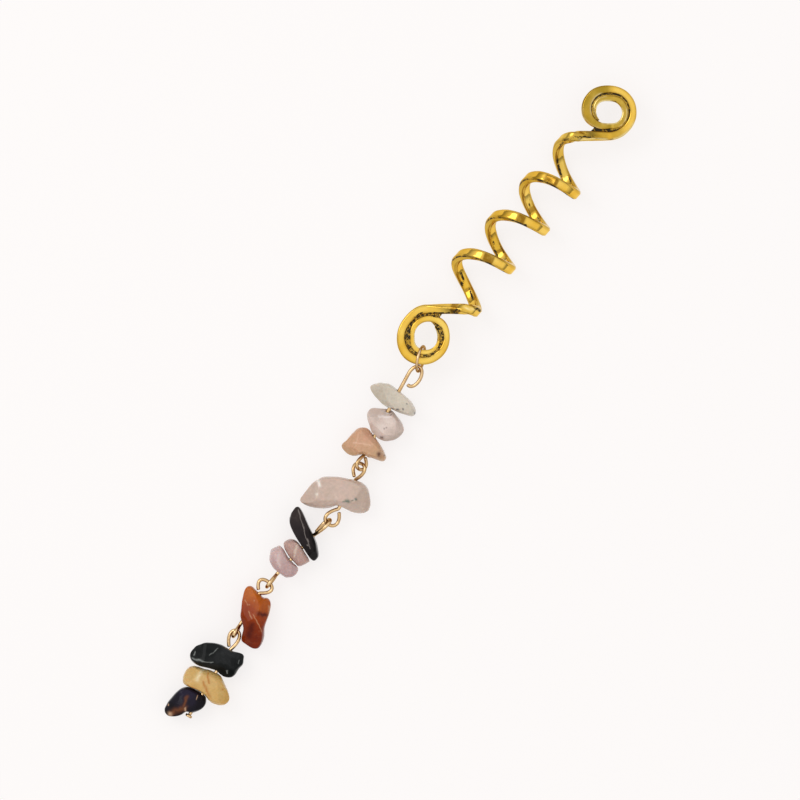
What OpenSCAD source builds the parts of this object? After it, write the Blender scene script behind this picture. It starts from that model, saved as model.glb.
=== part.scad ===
// Spiral hair ring: a cast coil that winds onto a lock of hair, with a chain of drilled stone
// chips hanging from one of its eyes. It lies on its side on a flat surface.
// Lengths are in millimetres. X runs along the coil, towards its free eye, and Z is up.

/* [Spiral] */

// Outer diameter of the coil
coil_d = 8.58; // [8.4:0.02:8.7]
// Distance between one turn and the next
pitch = 8.05; // [8:0.01:8.1]
// How far the crossings on top lie ahead of the coil's sides, and those below behind them
coil_slant = 0.88; // [0.8:0.02:1]
// Thickness of the strand, measured outwards from the axis
strand_t = 1.34; // [1.3:0.02:1.36]
// Width of the strand, measured along the coil
strand_w = 1.66; // [1.5:0.02:1.7]
// Share of the strand's half thickness that its edges are cut back by along the coil
edge_cut = 0.42; // [0.3:0.02:0.5]
// The same share in the eyes, which are pressed flatter
eye_edge_cut = 0.2; // [0.16:0.02:0.3]
// Height of the strand where it enters an eye
band_h = 1.22; // [1.1:0.02:1.26]
// Height of the strand where it ends inside an eye
band_end_h = 0.9; // [0.8:0.02:1]

/* [Jump ring] */

// Outer diameter of the jump ring
ring_d = 4.46; // [4.44:0.01:4.48]
// Thickness of its wire
ring_wire = 0.46; // [0.4:0.01:0.47]
// Direction of the ring from the middle of its eye, in degrees
ring_heading = 209; // [208.5:0.5:209.5]

/* [Pins] */

// Thickness of the pins' wire
pin_wire = 0.56; // [0.5:0.01:0.57]
// Diameter of the hole drilled through each chip
drill_d = 0.84; // [0.8:0.01:0.94]

/* [Hidden] */

axis_z = coil_d / 2;
coil_r = coil_d / 2 - strand_t / 2;
eye_z = axis_z;

// Middle of the whole part's outline, measured from the middle of the coil.
middle_x = -33.049;
middle_y = -4.856;

// Sides of the pins' wire and of the chips.
wire_sides = 6;
chip_sides = 16;

function unit(v) = v / norm(v);
function along(a, b, t) = a + (b - a) * t;
function ease(t) = let (u = min(1, max(0, t))) u * u * (3 - 2 * u);

// Each pin: where its shank starts and ends, x, y, z, both ends being the feet of its loops.
// The last pin ends in a flat head instead of a second loop.
PIN_FEET = [
    [[-30, -2.9, 3.7], [-42.55, -5.8, 2.35]],
    [[-46.3, -7.3, 2.35], [-51.5, -8.35, 2.35]],
    [[-57.05, -8.18, 2.35], [-65.65, -7.9, 2.35]],
    [[-69.6, -7.8, 2.35], [-75.45, -8.85, 2.35]],
    [[-79.35, -10.25, 2.35], [-91.12, -12.23, 2.35]]
];

// Each loop: its far end, its width and how far it is turned about its own length.
FIRST_LOOPS = [
    [[-26.48, -3.05, 4.08], 2, 0],
    [[-43.85, -6.26, 2.35], 2.5, 44],
    [[-53.65, -8.5, 2.35], 2.2, 75],
    [[-67.35, -7.7, 2.35], 2.4, 4],
    [[-76.35, -9, 2.35], 1.6, 6]
];
LAST_LOOPS = [
    [[-44.65, -6.8, 2.35], 2.1, 46],
    [[-54.38, -8.8, 2.35], 2.2, 14],
    [[-68.1, -8.05, 2.35], 2.2, 86],
    [[-77.4, -9.25, 2.35], 1.9, 84]
];

// Each chip: x and y of its middle, the way its long side points, half its length, half its
// width, height of its middle, half its height, how its top leans along and across its length,
// and the pin it is drilled for.
CHIPS = [
    [-32.75, -3.5, 98, 4, 1.75, 2.75, 2.75, 0.3, 0.1, 1],
    [-36.6, -5.4, 54, 3, 3.1, 2.4, 2.4, -0.2, 0.2, 1],
    [-41, -5.2, 96, 3.5, 2.6, 2.25, 2.25, 0.2, 0.1, 1],
    [-49.7, -6.6, 126, 5.2, 2.9, 2.5, 2.5, 0.4, -0.2, 2],
    [-58, -6.95, 68, 4.35, 1.4, 2.6, 2.6, 0.3, 0.1, 3],
    [-60.95, -8.25, 249, 2.45, 1.38, 2.2, 2.1, 0.1, 0.1, 3],
    [-63.85, -7.45, 248, 2.7, 1.8, 2.2, 1.9, 0.2, 0.1, 3],
    [-73.2, -9.6, 29, 4.75, 2.3, 2.35, 2.35, -0.3, 0.1, 4],
    [-81.7, -9.5, 109, 4, 2.4, 2.35, 2.35, 0.2, -0.2, 5],
    [-85.7, -11.2, 98, 4, 2.5, 2.4, 2.4, -0.3, 0.1, 5],
    [-90, -10.2, 143, 3.3, 2.2, 2.1, 2.1, 0.2, 0.1, 5]
];

// Outline of each chip seen from above, in percent of its ellipse, every 30 degrees.
OUTLINES = [
    [101, 117, 98, 89, 103, 114, 101, 87, 83, 87, 91, 95],
    [82, 114, 110, 90, 90, 98, 100, 95, 90, 90, 80, 76],
    [96, 112, 132, 54, 42, 68, 98, 76, 58, 60, 98, 94],
    [94, 128, 106, 66, 98, 117, 114, 97, 95, 82, 94, 92],
    [90, 90, 101, 86, 78, 112, 102, 95, 92, 97, 110, 112],
    [97, 108, 104, 86, 98, 106, 103, 114, 97, 86, 104, 114],
    [94, 108, 108, 88, 108, 115, 101, 98, 102, 92, 90, 94],
    [88, 110, 112, 84, 60, 92, 97, 116, 116, 102, 110, 84],
    [94, 115, 102, 78, 98, 104, 96, 112, 80, 86, 89, 88],
    [102, 107, 97, 75, 100, 107, 101, 85, 84, 79, 85, 98],
    [92, 117, 104, 82, 95, 106, 90, 74, 76, 88, 75, 76]
];

// Levels of a chip from its flat underside to its flat top, as shares of its half height.
CHIP_LEVELS = [-1, -0.9, -0.66, -0.33, 0, 0.33, 0.66, 0.9, 1];
// Share of the outline that is left at the flat underside and top.
chip_flat = 0.36;

// Moves a piece from the middle of the coil to the part's own origin.
module placed() {
    translate([-middle_x, -middle_y, 0])
        children();
}

// A closed skin over a list of rings that all have the same number of points.
module skin(rings) {
    sides = len(rings[0]);
    last = len(rings) - 1;
    points = [for (ring = rings) for (p = ring) p];
    walls = [
        for (i = [0:last - 1]) for (j = [0:sides - 1])
            let (a = i * sides + j, b = i * sides + (j + 1) % sides)
            each [[a, b + sides, b], [a, a + sides, b + sides]]
    ];
    ends = [
        [for (j = [0:sides - 1]) j],
        [for (j = [sides - 1:-1:0]) last * sides + j]
    ];
    polyhedron(points = points, faces = concat(walls, ends), convexity = 10);
}

// The strand of the spiral.

// Turning angles of the coil: 0 is the side that looks towards +Y, 90 the top. The ends lie a
// little past the last side of the coil, where the strand starts to bend out into an eye.
turn_step = 10;
turn_first = -560;
turn_last = 740;
// Distance along X by which the turn with angle 0 lies before the middle of the coil.
turn_shift = 1.55;

// Where the coil is wound unevenly: the turning angle, how far it lies off there along X and Y,
// and the angle within which the bend fades out to both sides.
BENDS = [
    [540, -0.62, 0.2, 180],
    [-540, -0.45, -0.4, 180],
    [-450, 0.62, -0.1, 90]
];

function bend_share(a, bend) = (1 + cos(180 * min(1, abs(a - bend[0]) / bend[3]))) / 2;
function bend_at(a, i = 0) =
    i == len(BENDS)
        ? [0, 0, 0]
        : bend_share(a, BENDS[i]) * [BENDS[i][1], BENDS[i][2], 0] + bend_at(a, i + 1);

function coil_at(a) =
    bend_at(a) + [
        pitch * a / 360 - turn_shift + coil_slant * sin(a),
        coil_r * cos(a),
        axis_z + coil_r * sin(a)
    ];
function coil_slope(a) = unit(coil_at(a + 1) - coil_at(a - 1));

// Middles of the eyes, seen from the middle of the coil with the eye's own end as +X.
free_eye = [22.86, 1];
chain_eye = [22.34, 0.74];

// Distance of the strand's middle from the eye's middle, every 45 degrees as it winds inwards.
radii_step = 45;
free_radii = [
    3.62, 3.6, 3.78, 3.83, 3.72, 3.82, 3.3, 2.45,
    2.13, 2.35, 2.5, 2.5, 2.3, 2.38, 2.28
];
chain_radii = [
    4.28, 3.8, 3.8, 3.9, 3.67, 3.43, 3.28, 3.15,
    2.88, 2.48, 2.2, 2.45, 2.4, 2.25, 2.15, 2.15
];
// Width of the strand at the same places.
free_widths = [
    1.36, 1.3, 1.1, 1.1, 1.2, 1.46, 1.6, 1.24,
    0.82, 0.86, 0.92, 1.08, 1.26, 1.06, 0.44
];
chain_widths = [
    1.44, 1.28, 1.32, 1.5, 1.2, 1.24, 0.92, 0.98,
    0.96, 0.82, 0.82, 0.94, 0.8, 0.6, 0.54, 0.44
];

wind_start = -138.5;
wind_step = 15;
free_wind = 630;
chain_wind = 675;

// Value of a list between its places, carried smoothly through them.
function smooth(list, q) =
    let (
        last = len(list) - 1,
        i = min(last - 1, floor(q)),
        t = q - i,
        p0 = list[max(0, i - 1)],
        p1 = list[i],
        p2 = list[i + 1],
        p3 = list[min(last, i + 2)]
    )
    (2 * p1 + (p2 - p0) * t + (2 * p0 - 5 * p1 + 4 * p2 - p3) * t * t
        + (3 * p1 - p0 - 3 * p2 + p3) * t * t * t) / 2;

function wind_at(eye, radii, w) =
    let (a = wind_start + w, r = smooth(radii, w / radii_step))
    [eye[0] + r * cos(a), eye[1] + r * sin(a), eye_z];
function curve_at(a, b, c, d, t) =
    pow(1 - t, 3) * a + 3 * pow(1 - t, 2) * t * b + 3 * (1 - t) * t * t * c + pow(t, 3) * d;

// A station holds its point, the way its outer face looks, half its thickness, half its width
// and the share that its edges are cut back by.
coil_part = [
    for (a = [turn_first:turn_step:turn_last])
        [coil_at(a), [0, cos(a), sin(a)], strand_t / 2, strand_w / 2, edge_cut]
];

// The strand leaves the coil as one more crossing on top, then lies down flat in its eye. It
// rolls over on the way, and half way its outer face looks up and a little to the eye's side.
tail_steps = 12;
tail_reach = 2.8;
roll_up = 0.6;
roll_aside = 0.6;

function tail_part(point, slope, out, eye, radii, widths) =
    let (
        d = wind_at(eye, radii, 0),
        b = point + tail_reach * slope,
        c = d + tail_reach * [sin(wind_start), -cos(wind_start), 0],
        out_d = [cos(wind_start), sin(wind_start), 0],
        half_way = roll_up * [0, 0, 1] + roll_aside * out_d
    )
    [
        for (i = [1:tail_steps])
            let (t = i / (tail_steps + 1))
            [
                curve_at(point, b, c, d, t),
                (1 - t) * (1 - t) * out + 3 * t * (1 - t) * half_way + t * t * out_d,
                along(strand_t, widths[0], t) / 2,
                along(strand_w, band_h, t) / 2,
                along(edge_cut, eye_edge_cut, t)
            ]
    ];

function wind_part(eye, radii, widths, wind) =
    let (steps = floor(wind / wind_step))
    [
        for (i = [0:steps])
            let (
                w = wind_step * i,
                a = wind_start + w,
                tip = i == steps ? 0.5 : i == steps - 1 ? 0.85 : 1
            )
            [
                wind_at(eye, radii, w),
                [cos(a), sin(a), 0],
                tip * smooth(widths, w / radii_step) / 2,
                tip * along(band_h, band_end_h, ease(w / wind)) / 2,
                eye_edge_cut
            ]
    ];

// The end with the chain is laid out like the free end, turned half round the upright axis.
function turned(v) = [-v[0], -v[1], v[2]];
function turned_station(s) = [turned(s[0]), turned(s[1]), s[2], s[3], s[4]];

free_end = concat(
    tail_part(coil_at(turn_last), coil_slope(turn_last), [0, cos(turn_last), sin(turn_last)],
        free_eye, free_radii, free_widths),
    wind_part(free_eye, free_radii, free_widths, free_wind)
);
chain_end = concat(
    tail_part(turned(coil_at(turn_first)), -turned(coil_slope(turn_first)),
        turned([0, cos(turn_first), sin(turn_first)]), chain_eye, chain_radii, chain_widths),
    wind_part(chain_eye, chain_radii, chain_widths, chain_wind)
);
strand = concat(
    [for (i = [len(chain_end) - 1:-1:0]) turned_station(chain_end[i])],
    coil_part,
    free_end
);

function strand_slope(i) =
    let (last = len(strand) - 1)
    unit(strand[min(last, i + 1)][0] - strand[max(0, i - 1)][0]);

// Section of the strand: a rectangle with its four edges cut back.
function strand_ring(i) =
    let (
        s = strand[i],
        slope = strand_slope(i),
        side = unit(cross(slope, s[1])),
        out = cross(side, slope),
        t = s[2],
        w = s[3],
        cut = s[4] * t,
        flat = [
            [t, w - cut], [t - cut, w], [cut - t, w], [-t, w - cut],
            [-t, cut - w], [cut - t, -w], [t - cut, -w], [t, cut - w]
        ]
    )
    [for (p = flat) s[0] + p[0] * out + p[1] * side];

// Thickness of the web that closes the groove between the turns of an eye, and how far back
// from the eye's start it also closes the gap between the tail and the eye, in degrees.
web_h = 0.44;
web_back = 56;

// Stations of a tail that the web reaches back to.
function tail_end(stations, eye) = [
    for (i = [0:tail_steps - 1])
        let (
            p = stations[i][0],
            back = wind_start - atan2(p[1] - eye[1], p[0] - eye[0])
        )
        if ((back + 360) % 360 < web_back) stations[i]
];

// The web from a point of the outer turn or the tail to the next turn inwards.
function web_ring(outer, eye, radii) =
    let (
        a = atan2(outer[1] - eye[1], outer[0] - eye[0]),
        w = (a - wind_start + web_back + 360) % 360 - web_back,
        r = smooth(radii, (w + 360) / radii_step),
        inner = [eye[0] + r * cos(a), eye[1] + r * sin(a), eye_z],
        up = [0, 0, web_h / 2]
    )
    [outer - up, inner - up, inner + up, outer + up];

module eye_web(eye, radii, wind, tail_end)
    skin(concat(
        [for (s = tail_end) web_ring(s[0], eye, radii)],
        [for (w = [0:wind_step:wind - 360]) web_ring(wind_at(eye, radii, w), eye, radii)]
    ));

module hair_spiral() {
    color([0.9, 0.68, 0.28])
        placed()
        union() {
            skin([for (i = [0:len(strand) - 1]) strand_ring(i)]);
            eye_web(free_eye, free_radii, free_wind, tail_end(free_end, free_eye));
            rotate([0, 0, 180])
                eye_web(chain_eye, chain_radii, chain_wind, tail_end(chain_end, chain_eye));
        }
}

// The jump ring.

ring_r = ring_d / 2 - ring_wire / 2;
// Distance of the ring's middle from the middle of its eye, and how far it hangs below it.
ring_reach = 3.5;
ring_drop = 0.15;
// The cut where the ring was opened, in degrees.
ring_cut = 8;

module jump_ring() {
    color([0.88, 0.74, 0.5])
        placed()
        translate([
            ring_reach * cos(ring_heading) - chain_eye[0],
            ring_reach * sin(ring_heading) - chain_eye[1],
            eye_z - ring_drop
        ])
        rotate([0, 0, ring_heading])
        rotate([90, 100, 0])
        rotate_extrude(angle = 360 - ring_cut, $fn = 48)
        translate([ring_r, 0])
        circle(d = ring_wire, $fn = 20);
}

// The eye pins.

// A loop turns from its foot round its far end and almost back to the foot.
loop_steps = 12;
loop_end = 316;

// Unit vectors along a loop and across it.
function loop_frame(foot, far, roll) =
    let (
        go = unit(far - foot),
        flat = unit(cross(go, [0, 0, 1])),
        up = cross(flat, go)
    )
    [go, cos(roll) * flat + sin(roll) * up];

// A loop shaped like a drop, pointed at its foot.
function drop_loop(foot, far, width, roll) =
    let (f = loop_frame(foot, far, roll), h = norm(far - foot))
    [
        for (i = [1:loop_steps])
            let (a = loop_end * (i + 0.6) / (loop_steps + 0.6))
            foot + h * (1 - cos(a)) / 2 * f[0] + width / 1.54 * sin(a) * sin(a / 2) * f[1]
    ];

// The first pin's upper loop springs from one side of its shank, like the letter P.
function side_loop(foot, far, width, roll, shank) =
    let (
        f = loop_frame(foot, foot + shank, roll),
        h = (far - foot) * f[0]
    )
    [
        for (i = [0:loop_steps])
            let (a = 90 - 290 * i / loop_steps)
            foot + h * (1 + cos(a)) / 2 * f[0] + width * (1 - sin(a)) / 2 * f[1]
    ];

function reversed(list) = [for (i = [len(list) - 1:-1:0]) list[i]];

function pin_path(i) =
    let (
        foot = PIN_FEET[i],
        first = FIRST_LOOPS[i],
        last = LAST_LOOPS[i],
        upper = i == 0
            ? side_loop(foot[0], first[0], first[1], first[2], foot[0] - foot[1])
            : concat([foot[0]], drop_loop(foot[0], first[0], first[1], first[2])),
        lower = i == 4
            ? [foot[1]]
            : concat([foot[1]], drop_loop(foot[1], last[0], last[1], last[2]))
    )
    concat(reversed(upper), lower);

// Directions of a path at its points, and cross directions carried along it without twisting.
function slopes(path) =
    let (last = len(path) - 1)
    [
        for (i = [0:last])
            unit(unit(path[min(last, i + 1)] - path[min(last - 1, i)])
                + unit(path[max(1, i)] - path[max(0, i - 1)]))
    ];
function carried(slope) = [
    for (
        i = 0, v = unit(cross(slope[0], [0.3, 0.4, 1]));
        i < len(slope);
        i = i + 1,
        v = i < len(slope) ? unit(v - (v * slope[i]) * slope[i]) : v
    ) v
];

module wire(path, r) {
    slope = slopes(path);
    side = carried(slope);
    skin([
        for (i = [0:len(path) - 1])
            [
                for (j = [0:wire_sides - 1])
                    let (a = 360 * j / wire_sides, up = cross(slope[i], side[i]))
                    path[i] + r * (cos(a) * side[i] + sin(a) * up)
            ]
    ]);
}

// Size of the flat head that stops the chips from slipping off the last pin.
head_d = 1.1;
head_t = 0.4;
// How much of the head's thickness the wire runs into.
head_overlap = 0.05;

module eye_pin(i) {
    color([0.86, 0.72, 0.48])
        placed()
        wire(pin_path(i), pin_wire / 2);
}

module headed_pin() {
    foot = PIN_FEET[4];
    way = unit(foot[1] - foot[0]);
    color([0.86, 0.72, 0.48])
        placed()
        union() {
            wire(pin_path(4), pin_wire / 2);
            translate(foot[1] - head_overlap * way)
                rotate([0, acos(way[2]), atan2(way[1], way[0])])
                cylinder(d = head_d, h = head_t, $fn = 24);
        }
}

// The stone chips.

// Outline of a chip at any angle, as a share of its ellipse.
function outline_at(list, a) =
    let (n = len(list), closed = concat([list[n - 1]], list, [list[0], list[1]]))
    smooth(closed, 1 + a / 360 * n) / 100;

function chip_ring(c, outline, u) =
    let (size = chip_flat + (1 - chip_flat) * pow(1 - pow(abs(u), 2.4), 0.5))
    [
        for (j = [0:chip_sides - 1])
            let (
                a = 360 * j / chip_sides,
                share = size * outline_at(outline, a),
                x = c[3] * share * cos(a) + c[7] * u,
                y = c[4] * share * sin(a) + c[8] * u
            )
            [
                c[0] + x * cos(c[2]) - y * sin(c[2]),
                c[1] + x * sin(c[2]) + y * cos(c[2]),
                c[5] + c[6] * u
            ]
    ];

module chip(i, tint) {
    c = CHIPS[i];
    foot = PIN_FEET[c[9] - 1];
    way = unit(foot[1] - foot[0]);
    spare = 3;
    color(tint)
        placed()
        difference() {
            skin([for (u = CHIP_LEVELS) chip_ring(c, OUTLINES[i], u)]);
            translate(foot[0] - spare * way)
                rotate([0, acos(way[2]), atan2(way[1], way[0])])
                cylinder(d = drill_d, h = norm(foot[1] - foot[0]) + 2 * spare, $fn = 24);
        }
}

module chip_1() chip(0, [0.78, 0.75, 0.68]);
module chip_2() chip(1, [0.8, 0.74, 0.7]);
module chip_3() chip(2, [0.82, 0.62, 0.43]);
module chip_4() chip(3, [0.84, 0.74, 0.68]);
module chip_5() chip(4, [0.18, 0.15, 0.17]);
module chip_6() chip(5, [0.76, 0.62, 0.6]);
module chip_7() chip(6, [0.76, 0.6, 0.62]);
module chip_8() chip(7, [0.6, 0.25, 0.07]);
module chip_9() chip(8, [0.1, 0.12, 0.12]);
module chip_10() chip(9, [0.82, 0.62, 0.34]);
module chip_11() chip(10, [0.1, 0.1, 0.14]);

module eye_pin_1() eye_pin(0);
module eye_pin_2() eye_pin(1);
module eye_pin_3() eye_pin(2);
module eye_pin_4() eye_pin(3);
module eye_pin_5() headed_pin();

hair_spiral();
jump_ring();
eye_pin_1();
eye_pin_2();
eye_pin_3();
eye_pin_4();
eye_pin_5();
chip_1();
chip_2();
chip_3();
chip_4();
chip_5();
chip_6();
chip_7();
chip_8();
chip_9();
chip_10();
chip_11();
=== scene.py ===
import math

import bpy
import numpy as np
from mathutils import Matrix, Vector, noise


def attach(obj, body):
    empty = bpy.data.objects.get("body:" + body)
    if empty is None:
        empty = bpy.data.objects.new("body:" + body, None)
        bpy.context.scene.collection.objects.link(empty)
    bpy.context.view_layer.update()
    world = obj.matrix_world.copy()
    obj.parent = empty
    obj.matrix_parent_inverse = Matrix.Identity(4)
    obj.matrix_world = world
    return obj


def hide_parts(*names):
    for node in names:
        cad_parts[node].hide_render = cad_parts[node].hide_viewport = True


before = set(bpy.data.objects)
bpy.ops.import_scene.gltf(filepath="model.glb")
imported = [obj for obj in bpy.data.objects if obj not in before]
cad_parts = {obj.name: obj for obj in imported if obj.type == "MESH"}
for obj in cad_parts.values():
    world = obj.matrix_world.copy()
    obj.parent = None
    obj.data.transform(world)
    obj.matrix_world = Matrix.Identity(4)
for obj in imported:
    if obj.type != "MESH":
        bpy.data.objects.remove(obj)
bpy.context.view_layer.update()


# The surface that the hair ring lies on: a plain, matt, nearly white sheet lit faintly from below.
# The light is that of a white tent that is dark near the table, and one large soft lamp on the
# side that the upper left of the picture faces.
MM = 0.001
picture_turn = math.radians(-48.5)
picture_width = 125 * MM
picture_height = 4.3 * MM
picture_middle = (0.695 * MM, 0.59 * MM)
camera_height = 0.9
sensor = 36
sheet_half = 3
sheet_colour = (0.20, 0.194, 0.192, 1)
sheet_glow, sheet_glow_strength = (1.0, 0.972, 0.962, 1), 0.775
# The tent's light by how steeply it is seen: 0 is level and 1 is straight up.
TENT_LIGHT = [(0.0, 0.28), (0.15, 0.38), (0.35, 0.7), (0.55, 1.0), (1.0, 1.0)]
lamp_width, lamp_power = 0.35, 0.7
lamp_place = (-0.05, 0.42, 0.5)


def set_up(tree, node, links=(), **values):
    """Sets a node's named values and links (socket, source) pairs to its inputs."""
    for name, value in values.items():
        if hasattr(node, name):
            setattr(node, name, value)
        else:
            node.inputs[name].default_value = value
    for socket, source in links:
        tree.links.new(source, node.inputs[socket])
    return node


def shader_node(tree, kind, links=(), **values):
    return set_up(tree, tree.nodes.new(kind), links, **values)


def new_material(name):
    material = bpy.data.materials.new(name)
    material.use_nodes = True
    return material, material.node_tree, material.node_tree.nodes["Principled BSDF"]


def placed(name, data):
    """A new object of the scene."""
    thing = bpy.data.objects.new(name, data)
    bpy.context.collection.objects.link(thing)
    return thing


def ramp(tree, source, stops):
    """Colours along a 0 to 1 value, from (place, colour) stops."""
    node = shader_node(tree, "ShaderNodeValToRGB", [("Fac", source)])
    elements = node.color_ramp.elements
    for i, (place, colour) in enumerate(stops):
        element = elements[i] if i < 2 else elements.new(place)
        element.position = place
        element.color = (*colour, 1)
    return node.outputs["Color"]


sheet_mesh = bpy.data.meshes.new("white_sheet")
sheet_mesh.from_pydata(
    [(x * sheet_half, y * sheet_half, 0) for x, y in ((-1, -1), (1, -1), (1, 1), (-1, 1))],
    [], [(0, 1, 2, 3)],
)
sheet = placed("white_sheet", sheet_mesh)
paper, tree, shader = new_material("matt_white")
set_up(tree, shader, **{
    "Base Color": sheet_colour, "Emission Color": sheet_glow,
    "Emission Strength": sheet_glow_strength, "Roughness": 0.9, "Specular IOR Level": 0.1,
})
sheet_mesh.materials.append(paper)

tent = bpy.data.worlds.new("white_tent")
bpy.context.scene.world = tent
tent.use_nodes = True
tree = tent.node_tree
direction = shader_node(tree, "ShaderNodeTexCoord").outputs["Generated"]
steepness = shader_node(tree, "ShaderNodeSeparateXYZ", [("Vector", direction)]).outputs["Z"]
tent_light = ramp(tree, steepness, [(at, (level,) * 3) for at, level in TENT_LIGHT])
set_up(tree, tree.nodes["Background"], [("Color", tent_light)], Strength=1.0)

lamp_data = bpy.data.lights.new("soft_lamp", "AREA")
lamp_data.shape = "DISK"
lamp_data.size = lamp_width
lamp_data.energy = lamp_power
lamp = placed("soft_lamp", lamp_data)
lamp.location = lamp_place
lamp.rotation_euler = (-lamp.location).to_track_quat("-Z", "Y").to_euler()

camera_data = bpy.data.cameras.new("camera")
camera_data.sensor_width = sensor
camera_data.lens = sensor * (camera_height - picture_height) / picture_width
camera_data.clip_end = 10
camera = placed("camera", camera_data)
camera.location = (*picture_middle, camera_height)
camera.rotation_euler = (0, 0, picture_turn)
bpy.context.scene.camera = camera
bpy.context.scene.view_settings.view_transform = "Standard"


# The spiral: one casting in a soft gold-plated alloy. A strand with flat faces and cut-back
# edges makes an open coil and lies down flat in an eye at each end, where a thin web closes the
# groove between the turns. Dark patina is left in the grooves and along some of the edges.
coil_d = 8.58
pitch = 8.05
coil_slant = 0.88
strand_t = 1.34
strand_w = 1.66
edge_cut = 0.42
eye_edge_cut = 0.28
band_h = 1.22
band_end_h = 0.9
coil_r = (coil_d - strand_t) / 2
axis_z = coil_d / 2
# Lengths are in mm from a point under the coil, near its middle. The frame's origin is here:
part_middle = np.array([-33.049, -4.856, 0.0])
turn_first, turn_last, turn_step, turn_shift = -560, 740, 2.5, 1.55
# Where the coil is wound unevenly: turning angle, how far it lies off there along X and Y, and
# the angle within which that fades out.
BENDS = [(540, -0.62, 0.2, 180), (-540, -0.45, -0.4, 180), (-450, 0.62, -0.1, 90)]
wind_start, wind_step = -138.5, 3.0
tail_steps, tail_reach = 48, 2.8
roll_up, roll_aside = 0.6, 0.6
tip_steps, tip_blunt = 2.2, 0.04

# The eyes, each seen from the coil with its own end as +X: middle, how far the strand winds in,
# between which winding angles a web lies inside it, and the distance from the middle and the
# width of the strand every 45 degrees.
EYES = {
    "free": dict(
        middle=(22.86, 1.0), wind=668, web_from=-46, web_to=307,
        radii=[3.62, 3.6, 3.78, 3.83, 3.72, 3.82, 3.42, 2.6,
               2.05, 2.4, 2.5, 2.5, 2.27, 2.46, 2.17, 1.93],
        widths=[1.36, 1.3, 1.1, 1.1, 1.2, 1.46, 1.66, 1.24,
                0.9, 0.96, 0.9, 1.06, 0.88, 0.72, 0.36, 0.2],
    ),
    "chain": dict(
        middle=(22.34, 0.74), wind=678, web_from=-36, web_to=340,
        radii=[4.36, 3.85, 3.85, 3.96, 3.7, 3.38, 3.3, 3.28,
               2.83, 2.4, 2.06, 2.36, 2.38, 2.24, 2.06, 2.2, 2.7],
        widths=[1.48, 1.33, 1.33, 1.46, 1.24, 1.18, 1.0, 1.24,
                0.96, 0.86, 0.7, 0.84, 0.8, 0.54, 0.44, 0.24, 0.2],
    ),
}
radii_step = 45


def unit(v):
    return v / np.linalg.norm(v)


def level_way(a):
    return np.array([math.cos(a), math.sin(a), 0])


def smooth(values, q):
    """Value of a list between its places, carried smoothly through them."""
    last = len(values) - 1
    i = min(last - 1, int(q))
    t = q - i
    p0, p1, p2, p3 = values[max(0, i - 1)], values[i], values[i + 1], values[min(last, i + 2)]
    return (2 * p1 + (p2 - p0) * t + (2 * p0 - 5 * p1 + 4 * p2 - p3) * t * t
            + (3 * p1 - p0 - 3 * p2 + p3) * t ** 3) / 2


def ease(t):
    t = min(1.0, max(0.0, t))
    return t * t * (3 - 2 * t)


def bell(turn, middle, reach):
    """1 at the middle, falling smoothly to 0 at that angle from it."""
    away = min(1.0, abs(turn - middle) / reach)
    return (1 + math.cos(math.pi * away)) / 2


def coil_at(turn):
    a = math.radians(turn)
    x = pitch * turn / 360 - turn_shift + coil_slant * math.sin(a)
    here = np.array([x, coil_r * math.cos(a), axis_z + coil_r * math.sin(a)])
    for middle, dx, dy, reach in BENDS:
        here += np.array([dx, dy, 0]) * bell(turn, middle, reach)
    return here


def coil_slope(turn):
    return unit(coil_at(turn + 1) - coil_at(turn - 1))


def wind_at(eye, w, a):
    """Where the strand of an eye is after winding w degrees, at angle a from the middle."""
    return np.array([*eye["middle"], axis_z]) + smooth(eye["radii"], w / radii_step) * level_way(a)


def eye_stations(eye, point, slope, out):
    """The strand from the coil's end into an eye: point, outward way, half thickness, half width,
    and the winding angle, which is negative on the way there."""
    a = math.radians(wind_start)
    goal, goal_out = wind_at(eye, 0, a), level_way(a)
    b = point + tail_reach * slope
    c = goal + tail_reach * np.array([math.sin(a), -math.cos(a), 0])
    half_way = np.array([0, 0, roll_up]) + roll_aside * goal_out
    stations = []
    for i in range(1, tail_steps + 1):
        t = i / (tail_steps + 1)
        u = 1 - t
        here = u ** 3 * point + 3 * u * u * t * b + 3 * u * t * t * c + t ** 3 * goal
        way = u * u * out + 3 * t * u * half_way + t * t * goal_out
        stations.append((
            here, way, (u * strand_t + t * eye["widths"][0]) / 2,
            (u * strand_w + t * band_h) / 2, -u,
        ))
    steps = int(eye["wind"] / wind_step)
    for i in range(steps + 1):
        w = wind_step * i
        a = math.radians(wind_start + w)
        left = (eye["wind"] - w) / (tip_steps * wind_step)
        tip = math.sqrt(max(tip_blunt, 1 - (1 - min(1, left)) ** 2))
        stations.append((
            wind_at(eye, w, a), level_way(a),
            tip * smooth(eye["widths"], w / radii_step) / 2,
            tip * (band_h + (band_end_h - band_h) * ease(w / eye["wind"])) / 2, w,
        ))
    return stations


TURNED = np.array([-1.0, -1.0, 1.0])


def radial(turn):
    a = math.radians(turn)
    return np.array([0, math.cos(a), math.sin(a)])


turns = np.arange(turn_first, turn_last + turn_step / 2, turn_step)
coil_stations = [(coil_at(a), radial(a), strand_t / 2, strand_w / 2, a) for a in turns]
free_stations = eye_stations(
    EYES["free"], coil_at(turn_last), coil_slope(turn_last), radial(turn_last)
)
chain_stations = [
    (s[0] * TURNED, s[1] * TURNED, s[2], s[3], s[4])
    for s in eye_stations(
        EYES["chain"], coil_at(turn_first) * TURNED, -coil_slope(turn_first) * TURNED,
        radial(turn_first) * TURNED,
    )
][::-1]
strand = (
    [("chain", s) for s in chain_stations]
    + [("coil", s) for s in coil_stations]
    + [("free", s) for s in free_stations]
)

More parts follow.
